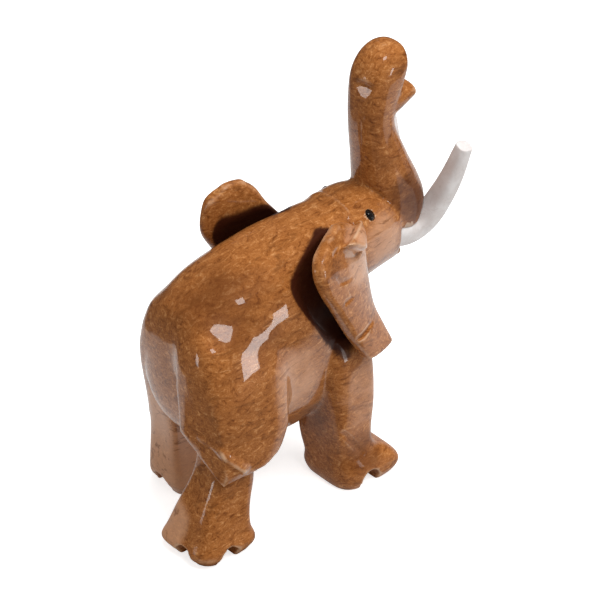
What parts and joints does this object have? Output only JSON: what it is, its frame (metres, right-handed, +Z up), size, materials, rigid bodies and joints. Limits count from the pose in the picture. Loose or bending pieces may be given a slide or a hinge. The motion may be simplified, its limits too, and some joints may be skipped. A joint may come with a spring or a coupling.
{
  "type": "marble elephant sculpture",
  "caption": "Carved and polished brown marble elephant walking with its trunk raised, with pale upswept tusks and black bead eyes.",
  "frame": {"origin": "on the ground, under the middle of the bounding box", "axes": "+Z up, -Y the way the elephant looks, +X its left side"},
  "size_m": [0.061, 0.1282, 0.1498],
  "materials": {
    "brown_marble": "polished",
    "white_stone": "polished",
    "black_glass": "glossy opaque bead"
  },
  "bodies": {
    "root": {"elephant_body": "brown_marble", "tusk_right": "white_stone", "tusk_left": "white_stone", "eye_right": "black_glass", "eye_left": "black_glass"}
  },
  "joints": []
}
